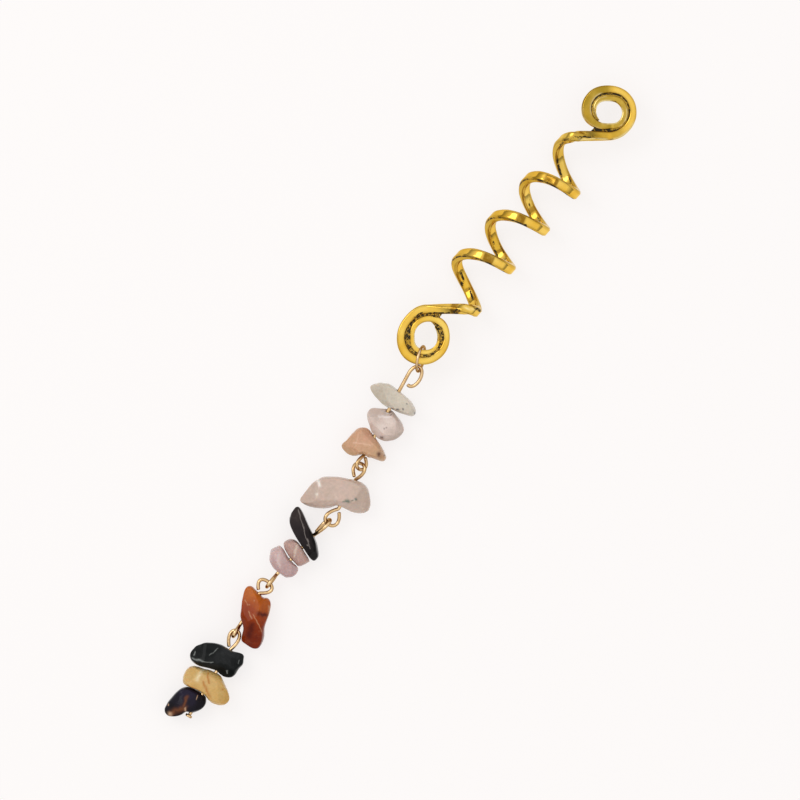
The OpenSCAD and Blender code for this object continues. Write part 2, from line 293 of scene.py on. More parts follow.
# Corners of the strand's section, counted round it from the outer face towards its side, as
# shares of half the thickness, half the width and the cut.
CORNERS = np.array([
    (1, 0, 1, -1), (1, -1, 1, 0), (-1, 1, 1, 0), (-1, 0, 1, -1),
    (-1, 0, -1, 1), (-1, 1, -1, 0), (1, -1, -1, 0), (1, 0, -1, 1),
])
corner_round, corner_bulge, corner_spread = 0.085, 0.26, 0.2
FACE_PLACES = (0.25, 0.5, 0.75)


def section_spots():
    """Places round the section, in corners: three points for each rounded corner and three
    across each of the four faces. The second value says whether it is the corner itself."""
    spots = []
    for corner in range(8):
        spots += [(corner, -1), (corner, 0), (corner, 1)]
        if corner % 2:
            spots += [(corner + place, None) for place in FACE_PLACES]
    return spots


SPOTS = section_spots()


def corner_points(t, w, share):
    """The eight corners for half sizes t and w, as outward and sideways parts."""
    cut = share * t
    out = CORNERS[:, 0, None] * t + CORNERS[:, 1, None] * cut
    side = CORNERS[:, 2, None] * w + CORNERS[:, 3, None] * cut
    return np.stack([out, side], -1).transpose(1, 0, 2)


def at_place(corners, place):
    """Point on each straight-edged section at its place counted in corners."""
    place = np.broadcast_to(np.asarray(place, float), len(corners))
    i = place.astype(int)
    share = (place - i)[:, None]
    each = np.arange(len(corners))
    return corners[each, i % 8] * (1 - share) + corners[each, (i + 1) % 8] * share


def section_points(t, w, share):
    corners = corner_points(t, w, share)
    columns = []
    for place, which in SPOTS:
        if which is None:
            columns.append(at_place(corners, place))
            continue
        here = corners[:, place]
        before, after = corners[:, place - 1] - here, corners[:, (place + 1) % 8] - here
        before /= np.linalg.norm(before, axis=1)[:, None] / corner_round
        after /= np.linalg.norm(after, axis=1)[:, None] / corner_round
        if which == 0:
            columns.append(here + corner_bulge * (before + after))
        else:
            columns.append(here + (before if which < 0 else after))
    return np.stack(columns, 1), corners


points = np.array([s[0] for _, s in strand])
outs = np.array([s[1] for _, s in strand])
half_t = np.array([s[2] for _, s in strand])
half_w = np.array([s[3] for _, s in strand])
angles = np.array([s[4] for _, s in strand])
parts = np.array([name for name, _ in strand])
in_eye = np.where(parts == "coil", 0, np.clip(1 + np.minimum(angles, 0), 0, 1))
cut_share = edge_cut + (eye_edge_cut - edge_cut) * in_eye
slopes = np.gradient(points, axis=0)
slopes /= np.linalg.norm(slopes, axis=1)[:, None]
sides = np.cross(slopes, outs)
sides /= np.linalg.norm(sides, axis=1)[:, None]
outs = np.cross(sides, slopes)
flat_points, flat_corners = section_points(half_t, half_w, cut_share)

# Flats left on the outer face by hammering: turn, half its length in degrees.
FLATS = [(436, 15), (465, 12), (92, 14), (118, 10), (-270, 14), (-242, 10), (266, 10), (-98, 10),
         (610, 10)]
for turn, half in FLATS:
    away = np.radians(np.abs(angles - turn))
    on = (parts == "coil") & (away < math.radians(half))
    fall = coil_d / 2 * (math.cos(math.radians(half)) / np.cos(away) - 1) * on
    outer = flat_points[:, :, 0] > half_t[:, None] / 2
    flat_points[:, :, 0] += fall[:, None] * outer

skin = (points[:, None] + flat_points[:, :, :1] * outs[:, None]
        + flat_points[:, :, 1:] * sides[:, None])

# Dark lines of patina on each part of the strand: from and to along it (degrees, or for a tail -1
# at the coil to 0 at the eye), place round the section or the places it starts and ends at, width
# in mm, how dark.
LINES = {
    "coil": [
        (404, 470, 0.8, 0.2, 1.0), (56, 104, 0.85, 0.18, 1.0), (-302, -245, 0.8, 0.18, 1.0),
        (470, 530, 0.9, 0.09, 0.8), (618, 680, 3.0, 0.17, 1.0), (700, 750, (2.6, 1.1), 0.12, 0.9),
        (585, 625, 3.9, 0.11, 0.9), (268, 335, 3.6, 0.11, 0.9), (255, 284, 3.1, 0.11, 0.8),
        (215, 250, 3.8, 0.12, 0.8), (-85, -35, 3.35, 0.12, 0.9), (-130, -78, 3.0, 0.14, 1.0),
        (-120, -70, 4.1, 0.1, 0.8), (-500, -450, 3.7, 0.17, 1.0), (-440, -395, 3.45, 0.14, 1.0),
        (-447, -430, 2.95, 0.26, 1.0), (330, 410, 0.9, 0.09, 0.8), (-30, 60, 0.9, 0.09, 0.8),
        (-390, -300, 0.9, 0.09, 0.8), (110, 150, 0.8, 0.1, 0.8), (-245, -200, 0.8, 0.1, 0.8),
        (90, 106, 0.6, 0.3, 1.0), (-575, -548, 7.0, 0.17, 2.0),
    ],
    "free": [
        (-1.05, -0.78, (9.3, 7.8), 0.12, 1.0), (-0.84, -0.3, (8.0, 6.1), 0.12, 1.0),
        (-0.36, 12, 6.1, 0.09, 0.7), (10, 273, 4.3, 0.1, 0.5), (500, 555, 4.6, 0.1, 0.9),
    ],
    "chain": [
        (-0.66, -0.5, (0.6, 1.3), 0.24, 1.0), (-0.62, -0.46, 1.6, 0.34, 1.0),
        (-1.1, -0.84, 7.02, 0.17, 2.0), (-0.52, 0, (1.9, 2.05), 0.16, 1.0),
        (-0.1, 40, 2.15, 0.16, 1.0), (30, 318, 2.5, 0.1, 0.5), (318, 350, 0.8, 0.15, 0.9),
        (640, 700, 0.9, 0.16, 0.9),
    ],
}
# Painted highlights along edges, in the same columns.
PAINTED_HIGHLIGHTS = {
    "free": [
        (-0.7, 0.02, (7.9, 6.4), 0.14, 0.9), (-0.1, 75, 6.5, 0.16, 0.9),
        (195, 285, 4.5, 0.16, 0.9), (250, 335, 6.5, 0.14, 0.8), (320, 480, 4.5, 0.13, 0.8),
        (395, 480, 6.5, 0.15, 0.9), (520, 668, 4.5, 0.13, 0.9), (545, 640, 6.5, 0.12, 0.7),
    ],
    "chain": [
        (425, 520, 2.3, 0.12, 0.8), (600, 670, 2.3, 0.12, 0.8),
        (-0.92, -0.66, (7.2, 7.6), 0.12, 0.9),
    ],
}
# Painted dark reflections: brown patches with sharp ends, where flat faces show a dark
# reflection: from, to, first and last place round the section, and how brown.
PAINTED_DARK_REFLECTIONS = {
    "coil": [
        (424, 457, 7.0, 8.3, 1.0), (76, 96, 7.0, 8.3, 1.0), (-283, -257, 7.0, 8.3, 1.0),
        (262, 280, 3, 4.4, 0.8), (-106, -92, 3, 4.4, 0.85), (-466, -452, 3, 4.4, 0.7),
    ],
    "chain": [
        (-0.6, -0.44, 0, 8, 1.0),
    ],
}
# Painted dark reflections: stretches of the strand painted olive and made a little rougher:
# from, to, and how much.
OLIVE_SHADE = {
    "free": [
        (-1, 0, 0.55), (0, 40, 0.5), (175, 375, 0.95), (375, 700, 0.75),
    ],
    "coil": [
        (-600, -500, 0.25), (560, 740, 0.35), (-120, -60, 0.35), (240, 300, 0.35), (340, 400, 0.3),
        (-20, 40, 0.3), (-380, -320, 0.3),
    ],
    "chain": [
        (-0.44, -0.36, 0.3),
    ],
}
# How long marks take to fade out at their ends, in degrees and along a tail, and how short a line
# is that does so over a third of its length.
line_soft, dull_soft, patch_soft = (12, 0.1), (18, 0.1), (2.5, 0.03)
short_line, short_tail_line = 24, 0.3
# How far the lines sway from side to side, and the length of a sway.
sway_size, sway_length = 0.12, 0.8
# Painted shade: how brown each of the eight rounded corners is.
EDGE_SHADE = (0.25, 0.55, 0.55, 0.35, 0.35, 0.55, 0.55, 0.25)
# Painted shade: the faces that look sideways are painted olive and made a little rougher, more
# than those that look up: place round the section, and how much there in the coil and in an eye.
SIDE_SHADE = [(0.5, 0.2, 0.15), (1.5, 0.5, 0.0), (2.5, 0.25, 0.25), (3.5, 0.0, 0.6), (4.5, 0.25, 0.25),
        (5.5, 0.5, 0.0), (6.5, 0.2, 0.15), (7.5, 0.0, 0.6)]


def each(table):
    """Every row of a table, led by its part of the strand."""
    return [(part, *row) for part, rows in table.items() for row in rows]


def spread(part, first, last, soft):
    """How much of a stretch of the strand lies at each station, with soft ends."""
    inside = np.clip((angles - first) / soft, 0, 1) * np.clip((last - angles) / soft, 0, 1)
    return inside * (parts == part)


def fade(soft, last):
    """The softness in degrees, or along a tail, where places run from -1 to 0."""
    return soft[1] if abs(last) <= 1 else soft[0]


def line_ends(first, last):
    """How long a line takes to fade out at its ends."""
    length = last - first
    if length <= short_tail_line or 1 < length < short_line:
        return length / 3
    return fade(line_soft, last)


patina, brown_shade_and_patina, olive_shade_and_satin, painted_highlight = (np.zeros(flat_points.shape[:2]) for _ in range(4))
spot_places = np.array([place + (which or 0) * corner_spread for place, which in SPOTS])
rim_places = [r[0] + round_again for round_again in (-8, 0, 8) for r in SIDE_SHADE]
in_coil, in_ring = (np.interp(spot_places, rim_places, [r[k] for r in SIDE_SHADE] * 3) for k in (1, 2))
# Painted shade: faces that look sideways get the olive tone.
olive_shade_and_satin += in_coil * (1 - in_eye[:, None]) + in_ring * in_eye[:, None]
# Painted shade: the rounded edges are browned.
for column, (place, which) in enumerate(SPOTS):
    if which is not None:
        brown_shade_and_patina[:, column] = EDGE_SHADE[place] * (1 - in_eye / 2)
# Painted dark reflections: olive stretches of the strand.
for part, first, last, weight in each(OLIVE_SHADE):
    soft = fade(dull_soft, last)
    there = spread(part, first - soft / 2, last + soft / 2, soft)[:, None]
    olive_shade_and_satin = np.maximum(olive_shade_and_satin, there * weight)
sway = np.array([sway_size * noise.noise(Vector(p) / sway_length) for p in points])[:, None, None]
# Dark patina lines, and painted highlights along edges.
for table, shares, swing in ((LINES, patina, sway), (PAINTED_HIGHLIGHTS, painted_highlight, sway / 3)):
    for part, first, last, place, width, weight in each(table):
        low, high = place if isinstance(place, tuple) else (place, place)
        at = low + (high - low) * np.clip((angles - first) / (last - first), 0, 1)
        apart = np.linalg.norm(flat_points - at_place(flat_corners, at)[:, None] - swing, axis=2)
        there = spread(part, first, last, line_ends(first, last))[:, None]
        shares[:] = np.maximum(shares, there * weight * np.exp(-(apart / width) ** 2))
# Painted dark reflections: brown patches.
for part, first, last, low, high, weight in each(PAINTED_DARK_REFLECTIONS):
    round_it = (((spot_places - low) % 8) <= (high - low)) | (high - low >= 8)
    there = spread(part, first, last, fade(patch_soft, last))[:, None]
    brown_shade_and_patina = np.maximum(brown_shade_and_patina, there * weight * round_it)


def tube(skin):
    """Quads over rings of points, and a fan over each end."""
    count, around = skin.shape[:2]
    ring = np.arange(count * around).reshape(count, around)
    a, b = ring[:-1], ring[1:]
    quads = np.stack([a, np.roll(a, -1, 1), np.roll(b, -1, 1), b], -1).reshape(-1, 4).tolist()
    middles = [skin[0].mean(0), skin[-1].mean(0)]
    ends = count * around
    for j in range(around):
        k = (j + 1) % around
        quads.append([ring[0, k], ring[0, j], ends])
        quads.append([ring[-1, j], ring[-1, k], ends + 1])
    return np.vstack([skin.reshape(-1, 3), middles]), quads


def make_piece(name, vertices, faces, attributes=None):
    """A smooth-shaded mesh from points in mm, with one value per vertex for each attribute."""
    mesh = bpy.data.meshes.new(name)
    mesh.from_pydata((np.asarray(vertices) * MM).tolist(), [], faces)
    mesh.validate()
    mesh.shade_smooth()
    for key, values in (attributes or {}).items():
        mesh.attributes.new(key, "FLOAT", "POINT").data.foreach_set(
            "value", np.asarray(values, dtype=np.float32).ravel()
        )
    return placed(name, mesh)


def wobble(points, size, seed):
    """Smooth random values from -1 to 1 at points in mm, with features of that size."""
    shift = Vector((seed * 17.3, seed * 5.1, seed * 9.7))
    return np.array([noise.noise(Vector(p) / size + shift) for p in points])


def uneven(points, waves):
    """Several wobbles in one, each with its height, its size and its seed."""
    return sum(height * wobble(points, size, seed) for height, size, seed in waves)


def normals_of(vertices, faces):
    """Area-weighted normals at the vertices."""
    normals = np.zeros_like(vertices)
    for face in faces:
        p = vertices[face[:3]]
        n = np.cross(p[1] - p[0], p[2] - p[0])
        for i in face:
            normals[i] += n
    return normals / (np.linalg.norm(normals, axis=1)[:, None] + 1e-12)


# The casting's unevenness, how much polishing took off, and how dark the strand's cut ends are.
CAST_WAVES = [(0.016, 1.4, 1), (0.004, 0.5, 2)]
polished_off = 0.012
end_dark = 0.6

spiral_points, spiral_faces = tube(skin)
way = normals_of(spiral_points, spiral_faces)
waves = uneven(spiral_points, CAST_WAVES) - polished_off
spiral_points = spiral_points + way * waves[:, None]
marks = {
    key: np.concatenate([shares.ravel(), [end_dark if key == "patina" else 0] * 2])
    for key, shares in (("patina", patina), ("brown_shade_and_patina", brown_shade_and_patina), ("olive_shade_and_satin", olive_shade_and_satin), ("painted_highlight", painted_highlight),
                        ("web", np.zeros(patina.shape)))
}

# The webs, each a thin strip between one turn of an eye and the next: its thickness, how rough it
# is, and how far across the gap the edge of the outer turn may reach and that of the inner one.
web_h = 0.44
web_rough, web_rough_size = 0.05, 0.4
outer_reach, inner_reach = 0.45, 0.55
# Across the groove, from the outer turn to the inner one: how far it is filled with dark patina,
# and where between the edges its two middle points lie.
GROOVE_FILL = {"free": (1, 1, 0.8, 0.3, 0.1, 0), "chain": (1, 1, 0.7, 0.7, 1, 1)}
groove_middles = (0.35, 0.7)
# Beside the tail all of the groove is dark: up to this winding angle, fading out within that one.
tail_dark_to, tail_dark_fade = 20, 25
# How dull each eye's web is, and how blotchy its patina, which is brown at its edges.
WEB_LOOKS = {"free": (0.6, 0.3), "chain": (0.1, 1)}
web_brown = 0.85
for name, eye in EYES.items():
    rings, fills = [], []
    outers = [(s[0] * (TURNED if name == "chain" else 1), s[2], s[4]) for part, s in strand
              if part == name and s[4] < eye["web_to"]]
    for outer, outer_half, wound in outers[::-1] if name == "chain" else outers:
        a = math.atan2(outer[1] - eye["middle"][1], outer[0] - eye["middle"][0])
        w = wound
        if wound < 0:
            w = (math.degrees(a) - wind_start + 180) % 360 - 180
            if w < eye["web_from"]:
                continue
        inner = wind_at(eye, w + 360, a)
        gap = np.linalg.norm(inner - outer)
        edge = min(outer_reach, outer_half / gap)
        far = max(inner_reach, 1 - smooth(eye["widths"], (w + 360) / radii_step) / 2 / gap)
        shares = [0, edge, *(edge + (far - edge) * t for t in groove_middles), far, 1]
        top = [outer + (inner - outer) * s + [0, 0, web_h / 2] for s in shares]
        low = [outer + (inner - outer) * s - [0, 0, web_h / 2] for s in shares[::-1]]
        rings.append(top + low)
        near_tail = ease((tail_dark_to - w) / tail_dark_fade)
        fills.append([max(fill, near_tail) for fill in GROOVE_FILL[name]] + [1] * 6)
    strip, faces = tube(np.array(rings))
    strip[:, 2] += web_rough * wobble(strip, web_rough_size, 3) * np.sign(strip[:, 2] - axis_z)
    if name == "chain":
        strip = strip * TURNED
    start = len(spiral_points)
    spiral_points = np.vstack([spiral_points, strip])
    spiral_faces += [[i + start for i in face] for face in faces]
    fills = np.concatenate([np.array(fills).ravel(), [1, 1]])
    web_dull, blotchy = WEB_LOOKS[name]
    strip_marks = {"patina": fills, "brown_shade_and_patina": fills * web_brown, "web": fills * blotchy,
                   "olive_shade_and_satin": np.full(len(strip), web_dull), "painted_highlight": np.zeros(len(strip))}
    marks = {key: np.concatenate([shares, strip_marks[key]]) for key, shares in marks.items()}


def attribute(tree, name):
    return shader_node(tree, "ShaderNodeAttribute", attribute_name=name).outputs["Fac"]


def cloud(tree, scale, detail, where=None, roughness=0.55):
    """A noise value over the piece; scale counts features per metre."""
    where = where or shader_node(tree, "ShaderNodeTexCoord").outputs["Object"]
    return shader_node(
        tree, "ShaderNodeTexNoise", [("Vector", where)],
        Scale=scale, Detail=detail, Roughness=roughness,
    ).outputs["Fac"]


def feed(tree, socket, value):
    """Sets a socket to a number or a colour, or links another socket to it."""
    if isinstance(value, (int, float)):
        socket.default_value = value
    elif isinstance(value, tuple):
        socket.default_value = (*value, 1)
    else:
        tree.links.new(value, socket)


def mixed(tree, share, first, second):
    """Colour mix; each colour is a tuple or a socket."""
    node = shader_node(tree, "ShaderNodeMix", [("Factor", share)], data_type="RGBA")
    feed(tree, node.inputs[6], first)
    feed(tree, node.inputs[7], second)
    return node.outputs[2]


def maths(tree, operation, first, second, clamp=False):
    node = shader_node(tree, "ShaderNodeMath", operation=operation, use_clamp=clamp)
    feed(tree, node.inputs[0], first)
    feed(tree, node.inputs[1], second)
    return node.outputs[0]


def stepped(tree, value, low, high, first=0.0, last=1.0):
    """Maps a value from low..high onto first..last, clamped."""
    return shader_node(tree, "ShaderNodeMapRange", [("Value", value)], **{
        "From Min": low, "From Max": high, "To Min": first, "To Max": last,
    }).outputs["Result"]


def clouded(tree, row, where=None, times=1):
    """A share that comes and goes in clouds, from one row of a table: features per metre, detail,
    roughness, the noise at the first share and at the last, and the two shares."""
    scale, detail, roughness, low, high, first, last = row
    noisy = cloud(tree, scale * times, detail, where, roughness)
    return stepped(tree, noisy, low, high, first, last)


def share_of(tree, name, clouds):
    """How strongly an attribute of the piece shows, broken up by clouds."""
    return maths(tree, "MULTIPLY", attribute(tree, name), clouds)


def bumps(tree, scale, strength, depth, where=None):
    """A bump of fine noise, with that many features per metre and that depth in metres."""
    return shader_node(tree, "ShaderNodeBump", [("Height", cloud(tree, scale, 4, where))],
                       Strength=strength, Distance=depth).outputs["Normal"]


# Colours of the plating: its two tones, olive for painted shade and dark reflections, in pits,
# brown for painted shade, painted dark reflections and patina, a painted highlight, and under
# patina.
GOLD_TONES = ((0.82, 0.47, 0.045), (0.95, 0.65, 0.14))
olive_shade_tone, pit_brown, shade_and_patina_brown = (0.38, 0.24, 0.022), (0.42, 0.22, 0.03), (0.30, 0.150, 0.013)
highlight_gold, patina_black = (1.0, 0.84, 0.42), (0.012, 0.006, 0.003)
gold_tint = (1.0, 0.9, 0.6, 1)
# Its clouds, each in the columns that clouded names.
PLATING = {
    "tones": (240, 2, 0.55, 0.35, 0.65, 0, 1),
    "olive_shade_and_satin": (420, 3, 0.55, 0.3, 0.55, 0.7, 1),
    "pits": (2600, 4, 0.7, 0.63, 0.72, 0, 0.25),
    "shade_and_patina_brown": (1100, 4, 0.55, 0.36, 0.56, 0.7, 1),
    "painted_highlight": (900, 3, 0.55, 0.36, 0.5, 0.35, 1),
    "lines": (2200, 4, 0.7, 0.38, 0.52, 0, 1),
    "web": (2400, 5, 0.75, 0.46, 0.53, 0, 1),
}
# The share of patina at which the metal starts to darken and at which it is black, how rough the
# metal is where bright and where dull, and what the patina adds to that and leaves of the metal.
dark_from, dark_to = 0.16, 0.42
bright_rough, dull_rough, dark_rough, dark_metal = 0.11, 0.24, 0.4, 0.3

gold, tree, shader = new_material("cast_gold")
tone = mixed(tree, clouded(tree, PLATING["tones"]), *GOLD_TONES)
# Olive: painted shade on sideways faces and painted dark reflections, a little rougher there too.
olive_shade_share = share_of(tree, "olive_shade_and_satin", clouded(tree, PLATING["olive_shade_and_satin"]))
tone = mixed(tree, olive_shade_share, tone, olive_shade_tone)
tone = mixed(tree, clouded(tree, PLATING["pits"]), tone, pit_brown)
# Brown: painted shade on the edges, painted dark reflections, and patina on the webs.
tone = mixed(tree, share_of(tree, "brown_shade_and_patina", clouded(tree, PLATING["shade_and_patina_brown"])), tone, shade_and_patina_brown)
# Painted highlights.
tone = mixed(tree, share_of(tree, "painted_highlight", clouded(tree, PLATING["painted_highlight"])), tone, highlight_gold)
not_web = maths(tree, "SUBTRACT", 1, attribute(tree, "web"))
filled = maths(tree, "ADD", share_of(tree, "web", clouded(tree, PLATING["web"])),
               maths(tree, "MULTIPLY", not_web, clouded(tree, PLATING["lines"])))
dark_share = maths(tree, "MULTIPLY", attribute(tree, "patina"), filled, True)
dark_share = stepped(tree, dark_share, dark_from, dark_to)
tone = mixed(tree, dark_share, tone, patina_black)
satin = stepped(tree, olive_shade_share, 0, 1, bright_rough, dull_rough)
set_up(tree, shader, [
    ("Base Color", tone),
    ("Roughness", maths(tree, "ADD", satin, maths(tree, "MULTIPLY", dark_share, dark_rough))),
    ("Metallic", stepped(tree, dark_share, 0, 1, 1.0, dark_metal)),
    ("Normal", bumps(tree, 2000, 0.10, 0.00003)),
], **{"Metallic": 1.0, "Specular Tint": gold_tint})

spiral = make_piece("hair_spiral_cast", spiral_points - part_middle, spiral_faces, marks)
spiral.data.materials.append(gold)
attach(spiral, "root")
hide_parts("hair_spiral")


# The jump ring: round wire bent to a ring and left a little open, through the eye on the
# chain's side. It is the same pale plated wire as the pins.
ring_wire, ring_outer = 0.46, 4.46
# From the middle of the eye to its own middle, how far out, down and which way.
ring_reach, ring_drop = 3.5, 0.15
ring_heading = math.radians(209)
ring_turned = math.radians(100)
ring_lean = math.radians(14)
ring_span, ring_steps = 352, 150
# How many corners the wire has round it, and the share of its width left at its ends.
wire_sides, wire_end = 14, 0.72
# Its colours: two tones, where worn, and on its flanks, a painted shade on the parts that look
# sideways; where that shade begins, from 1 for facing up to 0 for facing sideways, and how softly.
# Then its clouds.
WIRE_TONES = ((0.66, 0.42, 0.19), (0.82, 0.58, 0.32))
worn_tone, flank_shade_tone, flank_shade_strength = (0.36, 0.20, 0.08), (0.26, 0.13, 0.045), 0.8
flank_from, flank_soft = 0.82, 0.4
wire_tint = (1.0, 0.8, 0.5, 1)
WIRE_CLOUDS = {
    "tones": (700, 3, 0.55, 0.35, 0.65, 0, 1),
    "worn": (2000, 4, 0.55, 0.56, 0.66, 0, 0.35),
    "rough": (1800, 3, 0.55, 0.3, 0.7, 0.1, 0.22),
}


def resampled(path, step):
    """The path again with points at even distances."""
    lengths = np.concatenate([[0], np.cumsum(np.linalg.norm(np.diff(path, axis=0), axis=1))])
    count = max(2, int(lengths[-1] / step))
    at = np.linspace(0, lengths[-1], count)
    return np.stack([np.interp(at, lengths, path[:, k]) for k in range(3)], 1)


def eased(path, passes):
    """The path with its kinks rounded, ends kept."""
    for _ in range(passes):
        path[1:-1] = path[1:-1] * 0.5 + (path[:-2] + path[2:]) * 0.25
    return path


def wire_skin(path, radius):
    """Rings round a path, carried along it without twisting, with slightly rounded ends."""
    way = np.gradient(path, axis=0)
    way /= np.linalg.norm(way, axis=1)[:, None]
    across = np.cross(way[0], [0.3, 0.4, 1])
    a = np.linspace(0, 2 * math.pi, wire_sides, endpoint=False)
    rings = []
    for p, w in zip(path, way):
        across = across - (across @ w) * w
        across /= np.linalg.norm(across)
        up = np.cross(w, across)
        rings.append(p + radius * (np.cos(a)[:, None] * across + np.sin(a)[:, None] * up))
    rings = np.array(rings)
    for ring, p in ((rings[0], path[0]), (rings[-1], path[-1])):
        ring[:] = p + (ring - p) * wire_end
    return rings


pale, tree, shader = new_material("plated_wire")
tone = mixed(tree, clouded(tree, WIRE_CLOUDS["tones"]), *WIRE_TONES)
tone = mixed(tree, clouded(tree, WIRE_CLOUDS["worn"]), tone, worn_tone)
# Painted shade on the flanks of the wire.
tone = mixed(tree, share_of(tree, "painted_flank_shade", flank_shade_strength), tone, flank_shade_tone)
set_up(tree, shader, [
    ("Base Color", tone), ("Roughness", clouded(tree, WIRE_CLOUDS["rough"])),
], **{"Metallic": 1.0, "Specular Tint": wire_tint})


def flank_shade_shares(vertices, faces):
    """How far each point of a wire looks sideways instead of up or down, where it gets painted
    shade.
    """
    up = np.abs(normals_of(vertices, faces)[:, 2])
    return np.clip((flank_from - up) / flank_soft, 0, 1)


ring_r = (ring_outer - ring_wire) / 2
chain_middle = np.array([*EYES["chain"]["middle"], axis_z]) * TURNED
ring_middle = chain_middle + ring_reach * level_way(ring_heading) - [0, 0, ring_drop]
turn = Matrix.Rotation(ring_heading, 3, "Z") @ Matrix.Rotation(ring_lean, 3, "X") \
    @ Matrix.Rotation(ring_turned, 3, "Y") @ Matrix.Rotation(math.radians(90), 3, "X")
ring_path = np.array([
    ring_middle + np.array(turn @ Vector(ring_r * level_way(a)))
    for a in np.radians(np.linspace(0, ring_span, ring_steps))
])
vertices, faces = tube(wire_skin(ring_path, ring_wire / 2))
ring = make_piece("jump_ring_bent", vertices - part_middle, faces,
                  {"painted_flank_shade": flank_shade_shares(vertices, faces)})
ring.data.materials.append(pale)
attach(ring, "root")
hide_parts("jump_ring")


# The eye pins: lengths of the same wire, each bent to a loop at its ends and passed through its
# chips. The first has a loop like the letter P, and the last ends below in a small flat head.
pin_wire = 0.56
# The two ends of each pin's straight length, from which its loops are bent.
PIN_FEET = [
    ((-30, -2.9, 3.7), (-42.55, -5.8, 2.35)),
    ((-46.3, -7.3, 2.35), (-51.5, -8.35, 2.35)),
    ((-57.05, -8.18, 2.35), (-65.65, -7.9, 2.35)),
    ((-69.6, -7.8, 2.35), (-75.45, -8.85, 2.35)),
    ((-79.35, -10.25, 2.35), (-91.12, -12.23, 2.35)),
]
# Each loop: its far end, its width and its roll about its own length in degrees.
FIRST_LOOPS = [
    ((-26.48, -3.05, 4.08), 2, 0), ((-43.85, -6.26, 2.35), 2.5, 44),
    ((-53.65, -8.5, 2.35), 2.2, 75), ((-67.35, -7.7, 2.35), 2.4, 4),
    ((-76.35, -9, 2.35), 1.6, 6),
]
LAST_LOOPS = [
    ((-44.65, -6.8, 2.35), 2.1, 46), ((-54.38, -8.8, 2.35), 2.2, 14),
    ((-68.1, -8.05, 2.35), 2.2, 86), ((-77.4, -9.25, 2.35), 1.9, 84),
]
# The angles at which the wire of a drop loop and of the loop like a P starts and ends, and the
# width that the curve of a drop has by itself.
loop_steps = 60
drop_loop_from, drop_loop_to = 40, 316
side_loop_from, side_loop_to = 90, -200
drop_curve_w = 1.54
path_step, path_passes = 0.1, 4
head_d, head_t = 1.1, 0.4
# The head's profile: how far along the pin, and the share of its radius there.
HEAD_PROFILE = [(0, 0.86), (0.04, 1), (head_t - 0.08, 1), (head_t, 0.8)]
last_pin = len(PIN_FEET) - 1


def loop_frame(way, roll):
    go = unit(way)
    flat = unit(np.cross(go, [0, 0, 1]))
    up = np.cross(flat, go)
    roll = math.radians(roll)
    return go, math.cos(roll) * flat + math.sin(roll) * up


def drop_loop(foot, far, width, roll):
    """A loop shaped like a drop, pointed at its foot."""
    foot, far = np.array(foot), np.array(far)
    go, across = loop_frame(far - foot, roll)
    tall = np.linalg.norm(far - foot)
    points = []
    for a in np.radians(np.linspace(drop_loop_from, drop_loop_to, loop_steps)):
        high = tall * (1 - math.cos(a)) / 2
        wide = width / drop_curve_w * math.sin(a) * math.sin(a / 2)
        points.append(foot + high * go + wide * across)
    return points


def side_loop(foot, far, width, roll, shank):
    """A loop that springs from one side of its shank, like the letter P."""
    foot, far = np.array(foot), np.array(far)
    go, across = loop_frame(shank, roll)
    tall = (far - foot) @ go
    points = []
    for a in np.radians(np.linspace(side_loop_from, side_loop_to, loop_steps)):
        points.append(foot + tall * (1 + math.cos(a)) / 2 * go
                      + width * (1 - math.sin(a)) / 2 * across)
    return points


def pin_path(i):
    top, bottom = (np.array(p, float) for p in PIN_FEET[i])
    if i == 0:
        upper = side_loop(top, *FIRST_LOOPS[0], top - bottom)
    else:
        upper = [top] + drop_loop(top, *FIRST_LOOPS[i])
    lower = [bottom] + (drop_loop(bottom, *LAST_LOOPS[i]) if i < last_pin else [])
    return eased(resampled(np.array(upper[::-1] + lower), path_step), path_passes)


for i in range(last_pin + 1):
    path = pin_path(i)
    vertices, faces = tube(wire_skin(path, pin_wire / 2))
    if i == last_pin:
        way = unit(path[-1] - path[-2])
        along = np.array([path[-1] + way * s for s, _ in HEAD_PROFILE])
        head_skin = wire_skin(along, head_d / 2)
        for ring_points, middle, (_, share) in zip(head_skin, along, HEAD_PROFILE):
            spokes = ring_points - middle
            spokes /= np.linalg.norm(spokes, axis=1)[:, None]
            ring_points[:] = middle + spokes * head_d / 2 * share
        more, more_faces = tube(head_skin)
        faces += [[k + len(vertices) for k in face] for face in more_faces]
        vertices = np.vstack([vertices, more])
    pin = make_piece(f"eye_pin_{i + 1}_bent", vertices - part_middle, faces,
                     {"painted_flank_shade": flank_shade_shares(vertices, faces)})
    pin.data.materials.append(pale)
    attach(pin, "root")
    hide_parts(f"eye_pin_{i + 1}")


# The stone chips: drilled, then tumbled until their edges are soft and they shine. Each keeps
# some of the flats it was broken along, and has its own colours, clouds, veins and flaws.
voxel = 0.1
# The drill's width, how far past the pin's straight length it goes, as a share of that, and how
# far the hole's wall may come in again when the flats are ground.
drill_d, drill_past, hole_tight = 0.84, 0.5, 0.03
# How soft the edges of the flats are, how often the surface is smoothed, and how far each time
# first shrinks it and then swells it again.
flat_soft = 0.14
relax_passes, shrink, swell = 4, 0.5, -0.52
# Its dents, large and small, and how much tumbling took off all over.
DENTS = [(0.08, 1.8, 0), (0.012, 0.5, 30)]
tumbled_off = 0.03
# How far and how finely marks sway, and how far below its middle a chip shows them.
mark_sway, mark_sway_size, mark_below = 0.16, 0.7, 0.4

